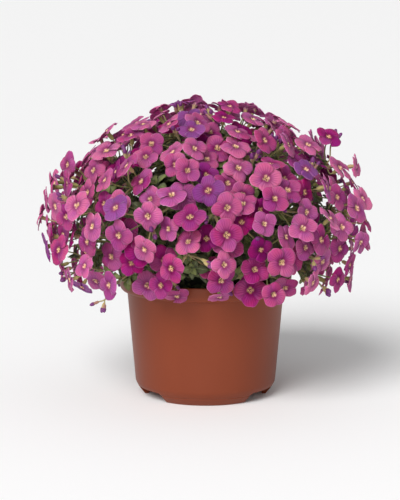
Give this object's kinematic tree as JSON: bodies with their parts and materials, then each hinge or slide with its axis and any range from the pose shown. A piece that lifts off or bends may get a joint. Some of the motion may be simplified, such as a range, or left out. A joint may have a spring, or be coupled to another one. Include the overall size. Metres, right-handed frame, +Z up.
{
  "type": "potted aubrieta",
  "caption": "Mound-forming aubrieta in full magenta-purple bloom, growing in a round terracotta-coloured plastic grow pot filled with compost.",
  "frame": {"origin": "on the pot's axis, on the surface that the pot's feet stand on", "axes": "+Z up along the pot's axis; -Y towards the front of the plant as pictured; +X to the viewer's right"},
  "size_m": [0.2317, 0.2249, 0.2084],
  "materials": {
    "pot_plastic": "satin",
    "compost": "matte",
    "leaf": "matte",
    "petal": "matte"
  },
  "bodies": {
    "root": {"pot": "pot_plastic", "soil": "compost", "foliage": "leaf", "bloom_head_01": "petal", "bloom_head_02": "petal", "bloom_head_03": "petal", "bloom_head_04": "petal", "bloom_head_05": "petal", "bloom_head_06": "petal", "bloom_head_07": "petal", "bloom_head_08": "petal", "bloom_head_09": "petal", "bloom_head_10": "petal", "bloom_head_11": "petal", "bloom_head_12": "petal", "bloom_head_13": "petal", "bloom_head_14": "petal", "bloom_head_15": "petal", "bloom_head_16": "petal", "bloom_head_17": "petal", "bloom_head_18": "petal", "bloom_head_19": "petal", "bloom_head_20": "petal", "bloom_head_21": "petal", "bloom_head_22": "petal", "bloom_head_23": "petal", "bloom_head_24": "petal", "bloom_head_25": "petal", "bloom_head_26": "petal", "bloom_head_27": "petal", "bloom_head_28": "petal", "bloom_head_29": "petal", "bloom_head_30": "petal", "bloom_head_31": "petal", "bloom_head_32": "petal", "bloom_head_33": "petal", "bloom_head_34": "petal", "bloom_head_35": "petal", "bloom_head_36": "petal", "bloom_head_37": "petal", "bloom_head_38": "petal", "bloom_head_39": "petal", "bloom_head_40": "petal", "bloom_head_41": "petal", "bloom_head_42": "petal", "bloom_head_43": "petal", "bloom_head_44": "petal", "bloom_head_45": "petal", "bloom_head_46": "petal", "bloom_head_47": "petal", "bloom_head_48": "petal", "bloom_head_49": "petal", "bloom_head_50": "petal", "bloom_head_51": "petal", "bloom_head_52": "petal"}
  },
  "joints": []
}
